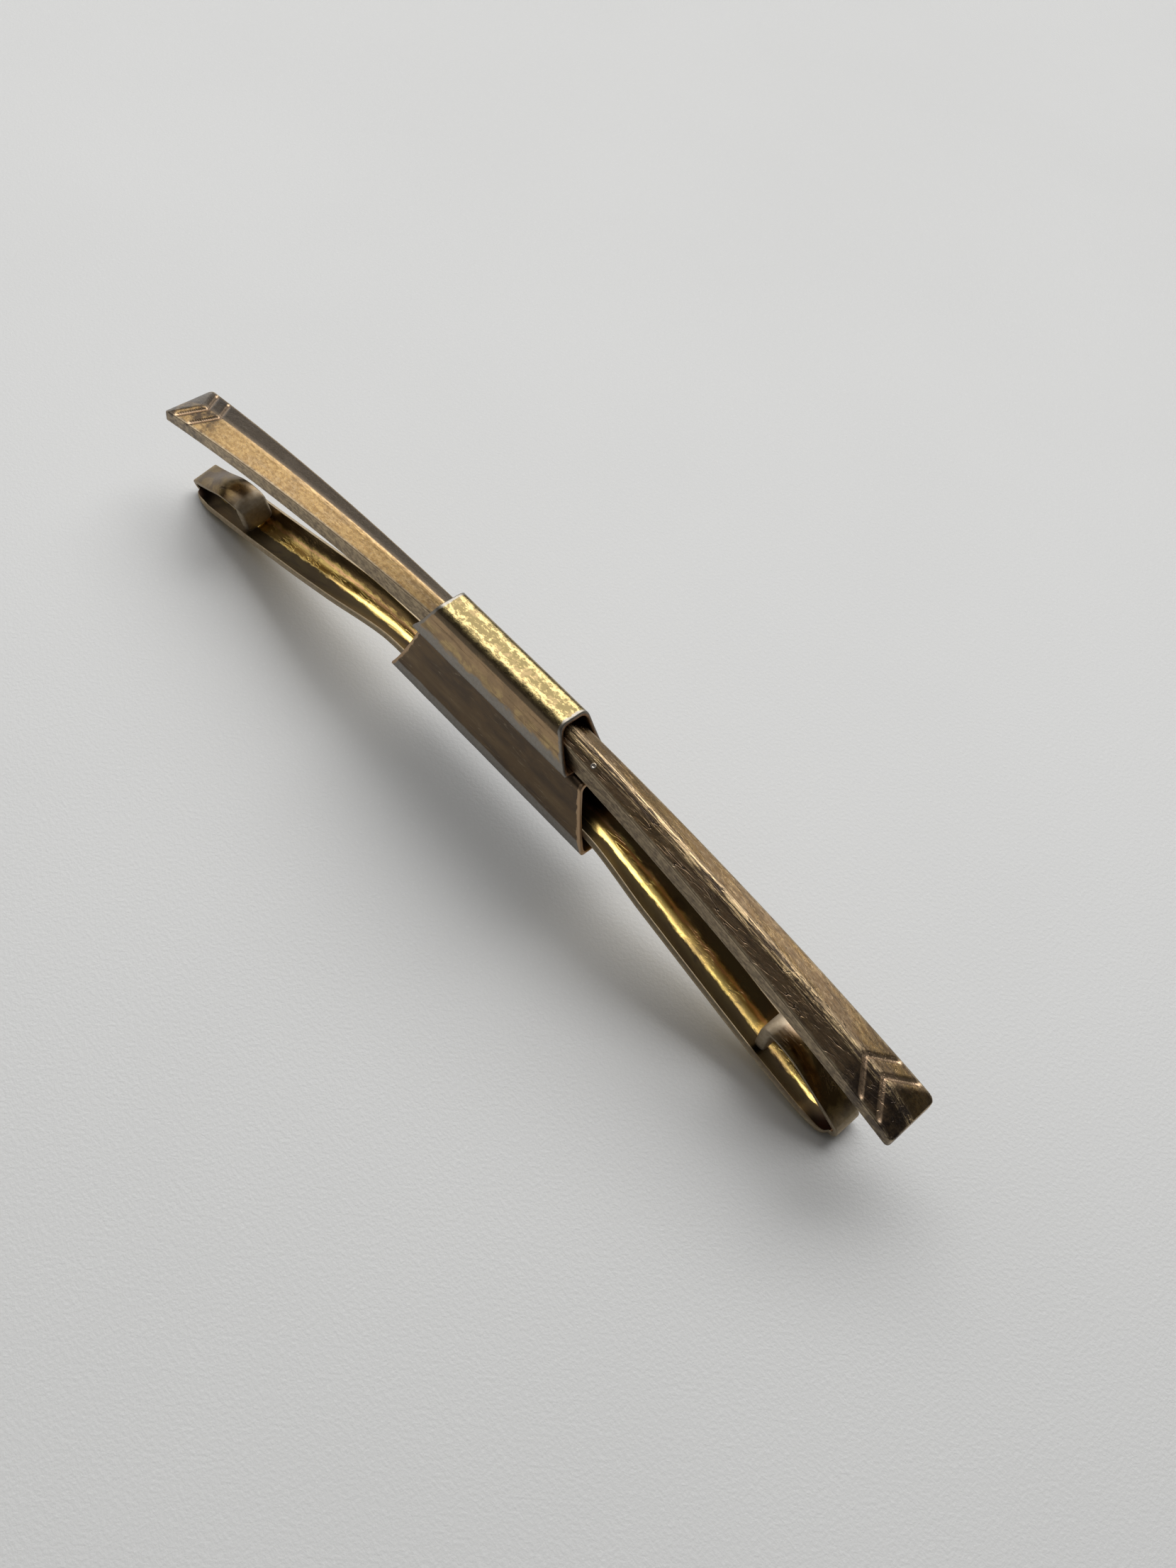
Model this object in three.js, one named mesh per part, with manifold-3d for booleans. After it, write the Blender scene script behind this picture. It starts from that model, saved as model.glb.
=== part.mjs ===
// Slide-on collar bar: an arched front bar held in a folded sleeve, with a two-armed spring behind it.
// Millimetres. +X runs along the bar, +Z points out of the front, and Z = 0 is the plane under the spring's feet.
import * as THREE from 'three';
import { mergeVertices } from 'three/addons/utils/BufferGeometryUtils.js';
import Module from 'manifold-3d';

// ---- Front bar ----
const barLength = 54;
const barEndWidth = 3;
const barWaistWidth = 1.32;
const barTaperPower = 1.15;        // how late the width grows from the waist to the ends
const barArch = 2.9;               // rise of the underside from the ends to the middle
const barEndBase = 4.6;            // height of the underside at its two ends
const waistWall = 1.2;             // height of the side wall at the waist
const endWall = 0.68;              // and at the ends
const roofRise = 0.38;             // ridge above the top of the side wall
const ridgeFlat = 0.16;            // worn flat along the ridge
const edgeChamfer = 0.08;
const barCornerRadius = 0.25;      // corners of the ends, seen from the front
const hipLength = 1.6;             // sloped facet at each end
const hipEdge = 0.52;              // thickness left at the end of that facet
const barStations = 72;

// ---- Engraved chevrons near each end ----
const chevronPitch = 1.15;
const chevronCount = 2;
const chevronOffset = 0.6;         // first chevron, inward from the top of the end facet
const chevronSweep = 0.85;         // travel toward the end for each unit of width
const chevronWidth = 0.3;
const chevronDepth = 0.12;

// ---- Sleeve: two tubes of one sheet thickness, one above the other ----
const sheet = 0.2;
const barGapBelow = 0.04;
const barGapAbove = 0.3;
const barGapSide = 0.03;
const sleeveLean = 0.2;            // how far each side leans in, for each unit of height
const sleeveTopLength = 8.8;       // mitred ends: length at the top
const sleeveMidLength = 11.8;      // length where the two tubes meet
const sleeveBaseLength = 15;       // length at the back
const sleeveCorner = 0.36;
const tubeGap = 0.02;              // solder line between the two tubes
const backTubeBase = 3.35;         // height of the sleeve's flat back

// ---- Back spring ----
const stripWidth = 2.3;            // inside the sleeve
const armWidth = 2.7;              // in the open, past the sleeve
const stripThickness = 0.28;
const troughDepth = 0.5;           // rims of the strip above its belly
const stripSideGap = 0.07;
const stripFloorGap = 0.05;
const backTubeLean = 0.16;
const springInset = 1.7;           // the bar's ends overhang the outer ends of the folds by this
const bellyInset = 2.1;            // from the outer end of a fold in to where the arm touches the surface
const foldRadius = 0.31;           // middle of the strip round the hairpin fold
const foldWidth = 1.6;
const foldLift = 0.2;              // gap under the fold
const tongueRise = 2.15;           // crest of the tongue above the fold
const tongueLength = 4.8;          // from the outer end of the fold to the crest
const tongueWidth = 1.75;
const fingerThickness = 0.6;       // doubled tip
const fingerWidth = 1.75;
const fingerTipHeight = 1.0;       // underside of the tip above the surface
const hingeInset = 0.2;            // the arms bend this far inside the back tube's mouths
const seamGap = 0.04;              // between the strip's fixed middle and each arm

// ---- Worked out from the sizes above ----
const half = barLength / 2;
const hipApex = half - hipLength;
const barMidBase = barEndBase + barArch;
const sleeveMouth = sleeveMidLength / 2;
const frontTubeBase = underside(sleeveMouth) - barGapBelow - sheet;
const frontTubeTop = barMidBase + waistWall + roofRise + barGapAbove + sheet;
const backTubeTop = frontTubeBase - tubeGap;
const backFloor = backTubeBase + sheet;
const bellyRoot = backFloor + stripFloorGap + stripThickness / 2;
const hingeX = sleeveBaseLength / 2 - hingeInset;
const springReach = half - springInset;
const springBellyX = springReach - bellyInset;

function underside(x) {
  return barEndBase + barArch * (1 - (x / half) ** 2);
}

function barHalfWidth(x) {
  const reach = Math.min(Math.abs(x) / half, 1);
  const spread = (barEndWidth - barWaistWidth) * reach ** barTaperPower;
  const intoCorner = Math.max(Math.abs(x) - (half - barCornerRadius), 0);
  const cut = barCornerRadius - Math.sqrt(Math.max(barCornerRadius ** 2 - intoCorner ** 2, 0));
  return (barWaistWidth + spread) / 2 - cut;
}

function wallHeight(x) {
  return THREE.MathUtils.lerp(waistWall, endWall, Math.abs(x) / half);
}

// ---- Geometry helpers ----

// Joins closed outlines, each placed by its own frame, into one closed solid.
function loft(sections) {
  const count = sections[0].outline.length;
  const positions = [];
  for (const { outline, frame } of sections) {
    for (const corner of outline) {
      const point = new THREE.Vector3(corner.x, corner.y, 0).applyMatrix4(frame);
      positions.push(point.x, point.y, point.z);
    }
  }
  const index = [];
  for (let i = 0; i < sections.length - 1; i++) {
    for (let k = 0; k < count; k++) {
      const a = i * count + k;
      const b = i * count + (k + 1) % count;
      index.push(a, b, b + count, a, b + count, a + count);
    }
  }
  const last = (sections.length - 1) * count;
  for (const [a, b, c] of THREE.ShapeUtils.triangulateShape(sections[0].outline, [])) {
    index.push(c, b, a);
  }
  for (const [a, b, c] of THREE.ShapeUtils.triangulateShape(sections.at(-1).outline, [])) {
    index.push(last + a, last + b, last + c);
  }
  const geometry = new THREE.BufferGeometry();
  geometry.setAttribute('position', new THREE.Float32BufferAttribute(positions, 3));
  geometry.setIndex(index);
  return geometry;
}

// A section frame: outline x runs along +Y, outline y along "up", and the sweep along their cross product.
function sectionFrame(x, z, up = new THREE.Vector3(0, 0, 1)) {
  const across = new THREE.Vector3(0, 1, 0);
  const along = new THREE.Vector3().crossVectors(across, up);
  return new THREE.Matrix4().makeBasis(across, up, along).setPosition(x, 0, z);
}

// A closed shape whose corners are rounded by "radius".
function roundedShape(corners, radius) {
  const shape = new THREE.Shape();
  corners.forEach((corner, i) => {
    const before = corners[(i + corners.length - 1) % corners.length];
    const after = corners[(i + 1) % corners.length];
    const into = before.clone().sub(corner).setLength(radius).add(corner);
    const outOf = after.clone().sub(corner).setLength(radius).add(corner);
    if (i === 0) {
      shape.moveTo(into.x, into.y);
    } else {
      shape.lineTo(into.x, into.y);
    }
    shape.quadraticCurveTo(corner.x, corner.y, outOf.x, outOf.y);
  });
  shape.closePath();
  return shape;
}

// Extrudes a shape drawn in Y and Z along X, centred on X = 0.
function extrudeAlongX(shape, length) {
  const options = { depth: length, bevelEnabled: false, curveSegments: 6 };
  const geometry = new THREE.ExtrudeGeometry(shape, options);
  geometry.translate(0, 0, -length / 2);
  const across = new THREE.Vector3(0, 1, 0);
  const up = new THREE.Vector3(0, 0, 1);
  const along = new THREE.Vector3(1, 0, 0);
  return geometry.applyMatrix4(new THREE.Matrix4().makeBasis(across, up, along));
}

// Extrudes a shape drawn in X and Z along Y, centred on Y = 0.
function extrudeAlongY(shape, width) {
  const options = { depth: width, bevelEnabled: false, curveSegments: 8 };
  const geometry = new THREE.ExtrudeGeometry(shape, options);
  geometry.translate(0, 0, -width / 2);
  return geometry.rotateX(Math.PI / 2);
}

const wasm = await Module();
wasm.setup();

function toSolid(geometry) {
  const bare = geometry.clone();
  for (const name of Object.keys(bare.attributes)) {
    if (name !== 'position') {
      bare.deleteAttribute(name);
    }
  }
  const merged = mergeVertices(bare, 1e-5);
  const vertProperties = new Float32Array(merged.attributes.position.array);
  const triVerts = new Uint32Array(merged.index.array);
  return new wasm.Manifold(new wasm.Mesh({ numProp: 3, vertProperties, triVerts }));
}

function toGeometry(solid) {
  const mesh = solid.getMesh();
  const geometry = new THREE.BufferGeometry();
  geometry.setAttribute('position', new THREE.BufferAttribute(mesh.vertProperties, 3));
  geometry.setIndex(new THREE.BufferAttribute(mesh.triVerts, 1));
  return geometry;
}

// ---- Front bar ----

function barOutline(x) {
  const w = barHalfWidth(x);
  const wall = wallHeight(x);
  const top = wall + roofRise;
  const corners = [
    [w - edgeChamfer, 0], [w, edgeChamfer], [w, wall], [ridgeFlat / 2, top],
    [-ridgeFlat / 2, top], [-w, wall], [-w, edgeChamfer], [edgeChamfer - w, 0],
  ];
  return corners.map(([y, z]) => new THREE.Vector2(y, z));
}

function barBlank() {
  const sections = [];
  for (let i = 0; i <= barStations; i++) {
    const x = -half * Math.cos(Math.PI * i / barStations);
    sections.push({ outline: barOutline(x), frame: sectionFrame(x, underside(x)) });
  }
  return toSolid(loft(sections));
}

// Cuts the roof away in one sloping facet at the end that "side" points to.
function hipCutter(side) {
  const ridge = underside(hipApex) + wallHeight(hipApex) + roofRise;
  const shoulderX = half - hipLength / 3;
  const shoulderZ = underside(shoulderX) + wallHeight(shoulderX) + 0.1;
  const clear = ridge + 2;
  const shape = new THREE.Shape();
  shape.moveTo(hipApex, ridge);
  shape.quadraticCurveTo(shoulderX, shoulderZ, half, barEndBase + hipEdge);
  shape.lineTo(half + 1, barEndBase + hipEdge);
  shape.lineTo(half + 1, clear);
  shape.lineTo(hipApex, clear);
  shape.closePath();
  const solid = toSolid(extrudeAlongY(shape, barEndWidth * 2));
  return side > 0 ? solid : solid.mirror([1, 0, 0]);
}

// One arm of a chevron: a V groove from the ridge at "x" down the roof to the edge at "edge" (+1 or -1).
function chevronArm(x, edge) {
  const w = barHalfWidth(x);
  const start = new THREE.Vector3(x, 0, underside(x) + wallHeight(x) + roofRise);
  const endX = x + chevronSweep * w;
  const end = new THREE.Vector3(endX, edge * w, underside(endX) + wallHeight(endX));
  const along = end.clone().sub(start).normalize();
  const roofLine = new THREE.Vector3(0, edge * w, -roofRise).normalize();
  const normal = new THREE.Vector3(edge, 0, 0).cross(roofLine).normalize();
  const across = new THREE.Vector3().crossVectors(normal, along).normalize();
  const up = new THREE.Vector3().crossVectors(along, across);
  const open = 0.3;
  const wide = chevronWidth / 2 * (1 + open / chevronDepth);
  const shape = new THREE.Shape();
  shape.moveTo(0, -chevronDepth);
  shape.lineTo(wide, open);
  shape.lineTo(-wide, open);
  shape.closePath();
  const overrun = 0.35;
  const depth = start.distanceTo(end) + overrun;
  const geometry = new THREE.ExtrudeGeometry(shape, { depth, bevelEnabled: false });
  const frame = new THREE.Matrix4().makeBasis(across, up, along).setPosition(start);
  return toSolid(geometry.applyMatrix4(frame));
}

function frontBar() {
  let solid = barBlank().subtract(hipCutter(1)).subtract(hipCutter(-1));
  for (let i = 0; i < chevronCount; i++) {
    const x = hipApex - chevronOffset - i * chevronPitch;
    for (const edge of [1, -1]) {
      const arm = chevronArm(x, edge);
      solid = solid.subtract(arm).subtract(arm.mirror([1, 0, 0]));
    }
  }
  return toGeometry(solid);
}

// ---- Sleeve ----

// Everything between the two mitred ends, seen from the side.
function mitrePrism(lowZ, lowLength, highZ, highLength) {
  const shape = new THREE.Shape();
  shape.moveTo(-lowLength / 2, lowZ);
  shape.lineTo(lowLength / 2, lowZ);
  shape.lineTo(highLength / 2, highZ);
  shape.lineTo(-highLength / 2, highZ);
  shape.closePath();
  return toSolid(extrudeAlongY(shape, barEndWidth * 2));
}

// A thin tube: "corners" gives its outline at an inset from the outer face.
function sheetTube(corners, length) {
  const shape = roundedShape(corners(0), sleeveCorner);
  shape.holes.push(roundedShape(corners(sheet), sleeveCorner - sheet / 2));
  return toSolid(extrudeAlongX(shape, length));
}

// The sides clear the bar's widest corner inside the mouth, and lean in above it.
function frontTubeCorners(inset) {
  const wallTop = barMidBase + waistWall;
  const halfAt = (z) => barHalfWidth(sleeveMouth) + barGapSide + sheet + sleeveLean * (wallTop - z) - inset;
  const low = frontTubeBase + inset;
  const high = frontTubeTop - inset;
  return [
    new THREE.Vector2(-halfAt(low), low),
    new THREE.Vector2(halfAt(low), low),
    new THREE.Vector2(halfAt(high), high),
    new THREE.Vector2(-halfAt(high), high),
  ];
}

function backTubeCorners(inset) {
  const rimTop = bellyRoot + troughDepth + stripThickness / 2;
  const halfAt = (z) => stripWidth / 2 + stripSideGap + sheet + backTubeLean * (rimTop - z) - inset;
  const low = backTubeBase + inset;
  const high = backTubeTop - inset;
  return [
    new THREE.Vector2(-halfAt(low), low),
    new THREE.Vector2(halfAt(low), low),
    new THREE.Vector2(halfAt(high), high),
    new THREE.Vector2(-halfAt(high), high),
  ];
}

function frontSleeve() {
  const tube = sheetTube(frontTubeCorners, sleeveMidLength);
  const ends = mitrePrism(frontTubeBase, sleeveMidLength, frontTubeTop, sleeveTopLength);
  return toGeometry(tube.intersect(ends));
}

function backSleeve() {
  const tube = sheetTube(backTubeCorners, sleeveBaseLength);
  const ends = mitrePrism(backTubeBase, sleeveBaseLength, backTubeTop, sleeveMidLength);
  return toGeometry(tube.intersect(ends));
}

// ---- Back spring ----

// The strip's section: a shallow trough, its rims above its belly.
function stripOutline(width, thickness, trough) {
  const steps = 6;
  const low = [];
  const high = [];
  for (let i = 0; i <= steps; i++) {
    const t = 2 * i / steps - 1;
    const lift = trough * t * t;
    low.push(new THREE.Vector2(t * width / 2, lift - thickness / 2));
    high.push(new THREE.Vector2(t * width / 2, lift + thickness / 2));
  }
  return [...low, ...high.reverse()];
}

// The belly line of one arm in X and Z, from the sleeve out to the fold, back along the tongue and down its tip.
function springPath() {
  const layer = stripThickness / 2;
  const foldX = springReach - foldRadius - layer;
  const foldZ = foldLift + foldRadius + layer;
  const leave = THREE.MathUtils.degToRad(62);
  const point = (x, z) => new THREE.Vector2(x, z);
  const crestX = springReach - tongueLength;
  const crestZ = foldZ + foldRadius + tongueRise;
  const fingerBend = 0.42;
  const root = point(hingeX + seamGap, bellyRoot);
  const belly = point(springBellyX, layer);
  const foldStart = point(foldX, foldZ - foldRadius);
  const foldEnd = point(foldX + foldRadius * Math.cos(leave), foldZ + foldRadius * Math.sin(leave));
  const crest = point(crestX, crestZ);
  const slope = (bellyRoot - layer) / (springBellyX - hingeX);
  const reach = (springBellyX - hingeX) * 0.34;
  const path = new THREE.CurvePath();
  path.add(new THREE.CubicBezierCurve(
    root,
    point(root.x + reach, root.y - reach * slope * 0.55),
    point(belly.x - reach, belly.y + reach * slope * 0.72),
    belly,
  ));
  path.add(new THREE.CubicBezierCurve(
    belly,
    point(belly.x + 0.6, belly.y),
    point(foldStart.x - 0.6, foldStart.y),
    foldStart,
  ));
  path.add(new THREE.EllipseCurve(foldX, foldZ, foldRadius, foldRadius, -Math.PI / 2, leave));
  path.add(new THREE.CubicBezierCurve(
    foldEnd,
    point(foldEnd.x - 1.9, foldEnd.y + 1.0),
    point(crest.x + 1.7, crest.y + 0.02),
    crest,
  ));
  path.add(new THREE.EllipseCurve(crestX, crestZ - fingerBend, fingerBend, fingerBend, Math.PI / 2, Math.PI));
  path.add(new THREE.LineCurve(
    point(crestX - fingerBend, crestZ - fingerBend),
    point(crestX - fingerBend, fingerTipHeight),
  ));
  return path;
}

// Width, thickness and trough of the strip at each place on that line, given as "part" (curve number plus 0 to 1).
function stripSize(part) {
  const ease = (from, to, start, end) => {
    return THREE.MathUtils.lerp(from, to, THREE.MathUtils.smoothstep(part, start, end));
  };
  if (part <= 2) {
    const round = Math.max(part - 1, 0);
    const open = ease(stripWidth, armWidth, 0.01, 0.14);
    const width = THREE.MathUtils.lerp(foldWidth, open, Math.sqrt(1 - round ** 2));
    return { width, thickness: stripThickness, trough: ease(troughDepth, 0, 1.1, 2) };
  }
  if (part <= 4) {
    const width = ease(foldWidth, tongueWidth, 3, 4);
    return { width, thickness: stripThickness, trough: ease(0, troughDepth / 3, 3, 3.6) };
  }
  const tip = Math.max(part - 5, 0);
  const rounding = Math.sqrt(Math.max(1 - (Math.max(tip - 0.7, 0) / 0.3) ** 2, 0.05));
  return {
    width: ease(tongueWidth, fingerWidth, 4, 5) * rounding,
    thickness: ease(stripThickness, fingerThickness, 4, 5) * rounding,
    trough: ease(troughDepth / 3, 0, 4, 5),
  };
}

function springArm() {
  const path = springPath();
  const steps = [22, 8, 10, 16, 6, 10];
  const sections = [];
  path.curves.forEach((curve, number) => {
    const first = number === 0 ? 0 : 1;
    for (let i = first; i <= steps[number]; i++) {
      const t = i / steps[number];
      const at = curve.getPoint(t);
      const tangent = curve.getTangent(t);
      const up = new THREE.Vector3(-tangent.y, 0, tangent.x);
      const { width, thickness, trough } = stripSize(number + t);
      sections.push({ outline: stripOutline(width, thickness, trough), frame: sectionFrame(at.x, at.y, up) });
    }
  });
  return loft(sections);
}

function springRoot() {
  const outline = stripOutline(stripWidth, stripThickness, troughDepth);
  const ends = [-hingeX, hingeX];
  return loft(ends.map((x) => ({ outline, frame: sectionFrame(x, bellyRoot) })));
}

// ---- Assembly ----

const brass = new THREE.MeshStandardMaterial({ color: 0x8a6a3c, roughness: 0.42, metalness: 1 });
const gilt = new THREE.MeshStandardMaterial({ color: 0xc79a45, roughness: 0.3, metalness: 1 });
const wornGilt = new THREE.MeshStandardMaterial({ color: 0x6b5230, roughness: 0.45, metalness: 1 });
const springGold = new THREE.MeshStandardMaterial({ color: 0xd8a648, roughness: 0.2, metalness: 1 });

function piece(name, geometry, material) {
  const mesh = new THREE.Mesh(geometry, material);
  mesh.name = name;
  return mesh;
}

const leftArm = piece('left_spring_arm', springArm(), springGold.clone());
leftArm.rotation.z = Math.PI;

const collarBar = new THREE.Group();
collarBar.name = 'collar_bar';
collarBar.add(
  piece('front_bar', frontBar(), brass),
  piece('front_sleeve', frontSleeve(), gilt),
  piece('back_sleeve', backSleeve(), wornGilt),
  piece('spring_root', springRoot(), springGold),
  piece('right_spring_arm', springArm(), springGold.clone()),
  leftArm,
);

export default collarBar;
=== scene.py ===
import math
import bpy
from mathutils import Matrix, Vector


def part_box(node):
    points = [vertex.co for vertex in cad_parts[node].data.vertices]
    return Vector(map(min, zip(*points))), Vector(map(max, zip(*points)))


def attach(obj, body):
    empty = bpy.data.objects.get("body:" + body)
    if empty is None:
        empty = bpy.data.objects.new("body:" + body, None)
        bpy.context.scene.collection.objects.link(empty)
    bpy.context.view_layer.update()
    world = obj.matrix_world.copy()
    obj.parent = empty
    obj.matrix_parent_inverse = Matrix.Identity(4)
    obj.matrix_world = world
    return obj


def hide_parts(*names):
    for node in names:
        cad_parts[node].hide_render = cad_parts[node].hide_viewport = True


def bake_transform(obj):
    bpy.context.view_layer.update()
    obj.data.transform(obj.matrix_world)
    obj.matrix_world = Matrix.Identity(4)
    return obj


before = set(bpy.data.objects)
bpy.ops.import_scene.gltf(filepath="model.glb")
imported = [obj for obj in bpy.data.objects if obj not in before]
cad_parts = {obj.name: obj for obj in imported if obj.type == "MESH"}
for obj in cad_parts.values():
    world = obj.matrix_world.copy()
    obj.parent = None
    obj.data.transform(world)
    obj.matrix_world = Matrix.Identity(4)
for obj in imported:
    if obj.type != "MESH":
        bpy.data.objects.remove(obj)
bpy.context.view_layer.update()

from types import SimpleNamespace

import bpy
import numpy as np
from bpy.props import FloatProperty, FloatVectorProperty, PointerProperty
from mathutils import Matrix, Vector, noise

bl_info = {
    "name": "Slide-on Collar Bar",
    "version": (1, 0, 0),
    "blender": (4, 5, 0),
    "location": "View3D > Sidebar > Collar Bar",
    "description": "Builds an aged brass collar bar, its folded sleeve and its two-armed spring",
    "category": "Add Mesh",
}

MM = 0.001               # the meshes are worked out in millimetres and stored in metres
BAR_LOW, BAR_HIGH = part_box("front_bar")
UPPER_LOW, UPPER_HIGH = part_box("front_sleeve")
LOWER_LOW, LOWER_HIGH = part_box("back_sleeve")
ARM_LOW, ARM_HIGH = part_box("right_spring_arm")
ROOT_LOW, ROOT_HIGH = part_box("spring_root")
TAN_STRIP = (0.50, 0.42, 0.31)
LACQUER_DROP = (6.5, -0.52, 8.57)   # millimetres; a dried drop on one slope of the bar


# ---- Sizes and colours that a user would change ----

def length(name, description, default):
    return FloatProperty(name=name, description=description, default=default, min=0.0, unit="LENGTH",
                         precision=5)


def factor(name, description, default, high=10.0):
    return FloatProperty(name=name, description=description, default=default, min=0.0, max=high)


def colour(name, description, default):
    return FloatVectorProperty(name=name, description=description, default=default, size=3,
                               subtype="COLOR", min=0.0, max=1.0)


class BarSizes(bpy.types.PropertyGroup):
    """The arched front bar."""
    overall: length("Length", "From end to end", BAR_HIGH.x - BAR_LOW.x)
    end_width: length("End width", "Across the bar at its two ends", 0.0030)
    waist_width: length("Waist width", "Across the bar at its middle", 0.00132)
    taper: factor("Taper", "How late the width grows from the waist to the ends", 1.15)
    arch: length("Arch", "Rise of the underside from the ends to the middle", 0.0029)
    end_base: length("End height", "Height of the underside at the two ends", BAR_LOW.z)
    waist_wall: length("Waist wall", "Height of the side wall at the waist", 0.0012)
    end_wall: length("End wall", "Height of the side wall at the ends", 0.00068)
    roof_rise: length("Roof rise", "Ridge above the side wall", 0.00038)
    corner: length("Corner", "Radius of the ends' corners, seen from the front", 0.00025)
    hip: length("Hip", "Length of the sloped facet at each end", 0.0016)
    hip_edge: length("Hip edge", "Thickness left at the end of that facet", 0.00052)
    chevron_pitch: length("Chevron pitch", "From one chevron to the next", 0.00115)
    chevron_offset: length("Chevron offset", "First chevron from the top of the hip", 0.00045)
    chevron_depth: length("Chevron depth", "Depth of the cut", 0.00010)
    chevron_width: length("Chevron width", "Width of the cut along the ridge", 0.00042)
    chevron_sweep: factor("Chevron sweep", "Travel toward the end for each unit of width", 0.85)


class SleeveSizes(bpy.types.PropertyGroup):
    """The two joined tubes that hold the bar and the spring."""
    top_length: length("Top length", "Length of the upper tube along its top", 0.0088)
    middle_length: length("Middle length", "Length where the tubes meet", UPPER_HIGH.x - UPPER_LOW.x)
    base_length: length("Base length", "Length of the lower tube along its back", LOWER_HIGH.x - LOWER_LOW.x)
    upper_width: length("Upper width", "Upper tube's sides, carried on to its base", 0.002704)
    upper_top: length("Upper top width", "Upper tube's sides, carried on to its top", 0.00172)
    lower_width: length("Lower width", "Lower tube's sides, carried on to its base", 0.00317)
    lower_top: length("Lower top width", "Lower tube's sides, carried on to its top", 0.00197)
    sheet: length("Sheet", "Thickness of the metal", 0.0002)
    bend: length("Bend", "How far each lower bend runs into the flats beside it", 0.00036)
    top_bend: length("Top bend", "The same for the upper tube's top bends", 0.00046)
    shift: length("Shift", "How far the lower tube sits toward the +X end", 0.0005)


class SpringSizes(bpy.types.PropertyGroup):
    """The two-armed strip spring behind the bar."""
    reach: length("Reach", "From the middle to the outer end of a fold", ARM_HIGH.x)
    width: length("Width", "Across the strip inside the lower tube", ROOT_HIGH.y - ROOT_LOW.y)
    arm_width: length("Arm width", "Across the strip in the open", ARM_HIGH.y - ARM_LOW.y)
    thickness: length("Thickness", "Of the strip", 0.00028)
    trough: length("Trough", "Rims of the strip above its belly", 0.0005)
    root: length("Root height", "Middle of the strip inside the lower tube", 0.00374)
    hinge: length("Hinge", "From the middle to where an arm starts to bend", 0.0073)
    belly: length("Belly inset", "From the fold's outer end in to where the arm rests", 0.0021)
    fold_radius: length("Fold radius", "Middle of the strip round the fold", 0.00031)
    fold_width: length("Fold width", "Strip's width at the fold", 0.0016)
    fold_lift: length("Fold lift", "Gap under the fold", 0.0002)
    tongue_rise: length("Tongue rise", "Crest of the tongue above the fold", 0.00215)
    tongue_length: length("Tongue length", "From the fold's outer end to the crest", 0.0048)
    tongue_width: length("Tongue width", "Across the tongue", 0.00175)
    finger_thickness: length("Finger thickness", "The doubled tip", 0.0006)
    finger_width: length("Finger width", "Across the tip", 0.00175)
    finger_height: length("Finger height", "Underside of the tip above the surface", 0.001)
    shift: length("Shift", "How far the folds sit toward the -X end", 0.0004)
    twist: factor("Twist", "Degrees the -X arm is turned about its length", 15.0, 90.0)


class MetalColours(bpy.types.PropertyGroup):
    """Reflected colours of the metals and of what has grown on them."""
    soft_gold: colour("Soft gold", "Gilding of the front bar", (0.50, 0.335, 0.15))
    brown_brass: colour("Brown brass", "The bar where its gilding has dulled", (0.37, 0.26, 0.15))
    dark_tarnish: colour("Dark tarnish", "Old tarnish and dirt", (0.060, 0.045, 0.036))
    bare_copper: colour("Bare copper", "Rubbed edges and fresh cuts", (0.66, 0.48, 0.29))
    bright_gilt: colour("Bright gilt", "The sleeve's polished gilding", (0.44, 0.34, 0.155))
    dull_gilt: colour("Dull gilt", "The sleeve's side faces", (0.36, 0.245, 0.14))
    nickel: colour("Nickel", "Grey metal where the gilding is worn away", (0.42, 0.40, 0.37))
    brown_gilt: colour("Brown gilt", "The lower tube", (0.17, 0.115, 0.066))
    spring_gold: colour("Spring gold", "The polished spring", (0.80, 0.58, 0.18))
    # Painted reflection: the bar's orange reflected low in the spring's trough
    orange_reflection: colour("Orange", "Stain in the spring's trough", (0.36, 0.19, 0.08))
    cut_edge: colour("Cut edge", "Pale edges of the strip", TAN_STRIP)


class StageSettings(bpy.types.PropertyGroup):
    """Floor, lights and camera."""
    floor_size: length("Floor size", "Side of the pale sheet", 1.6)
    floor_colour: colour("Floor colour", "The pale sheet", (0.67, 0.67, 0.66))
    key_power: factor("Key power", "Watts of the large soft light behind", 4.2, 100.0)
    fill_power: factor("Fill power", "Watts of the soft light on the left", 0.4, 100.0)
    sky: factor("Sky", "Strength of the room's light", 1.0, 100.0)


def sizes(group):
    """A property group's numbers, with its lengths in millimetres."""
    found = {}
    for key, rna in group.bl_rna.properties.items():
        if rna.type == "FLOAT" and not rna.is_array:
            scale = 1 / MM if rna.unit == "LENGTH" else 1
            found[key] = getattr(group, key) * scale
    return SimpleNamespace(**found)


# ---- Mesh helpers ----

def add_piece(name, rings, marks, closed=True, flip=False):
    """A mesh through rings of points in millimetres. A closed run joins its last ring to its first."""
    grid = np.array(rings, float)
    count, around = grid.shape[:2]
    faces = []
    for i in range(count if closed else count - 1):
        after = (i + 1) % count
        for k in range(around):
            side = (k + 1) % around
            faces.append((i * around + k, i * around + side, after * around + side, after * around + k))
    if not closed:
        faces.append(tuple(range(around - 1, -1, -1)))
        faces.append(tuple((count - 1) * around + k for k in range(around)))
    if flip:
        faces = [tuple(reversed(face)) for face in faces]
    mesh = bpy.data.meshes.new(name)
    mesh.from_pydata((grid.reshape(-1, 3) * MM).tolist(), [], faces)
    mesh.validate()
    mesh.polygons.foreach_set("use_smooth", [True] * len(mesh.polygons))
    for key, values in marks.items():
        mark = mesh.attributes.new(key, "FLOAT", "POINT")
        mark.data.foreach_set("value", np.array(values, np.float32).ravel())
    piece = bpy.data.objects.new(name, mesh)
    bpy.context.scene.collection.objects.link(piece)
    return piece


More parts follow.
